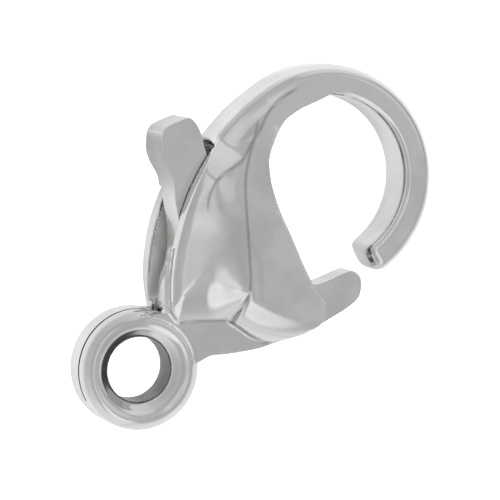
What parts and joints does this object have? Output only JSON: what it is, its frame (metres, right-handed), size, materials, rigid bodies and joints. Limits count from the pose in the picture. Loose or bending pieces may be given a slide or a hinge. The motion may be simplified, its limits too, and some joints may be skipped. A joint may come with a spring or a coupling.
{
  "type": "lobster clasp",
  "caption": "Polished steel lobster clasp with a round eye, domed cheeks, a round hook and a sprung lever with a thumb tab.",
  "frame": {"origin": "centre of the eye's hole, in the clasp's middle plane", "axes": "+X from the eye to the hook, +Y to the thumb tab, +Z along the eye's hole, up from the face it lies on"},
  "size_m": [0.015, 0.0092, 0.0038],
  "materials": {
    "steel": "polished stainless steel",
    "lever_steel": "polished stainless steel",
    "pin_steel": "drawn wire"
  },
  "bodies": {
    "clasp_body": {"body": "steel", "pivot_pin": "pin_steel"},
    "clasp_lever": {"lever": "lever_steel"}
  },
  "joints": [
    {"name": "lever_pivot", "type": "hinge", "parent": "clasp_body", "child": "clasp_lever", "pos_m": [0.0039, 0, 0], "axis": [0, 0, 1], "range_deg": [0, 22], "stiffness_Nm_per_rad": 0.008, "springref_deg": -11.46}
  ]
}
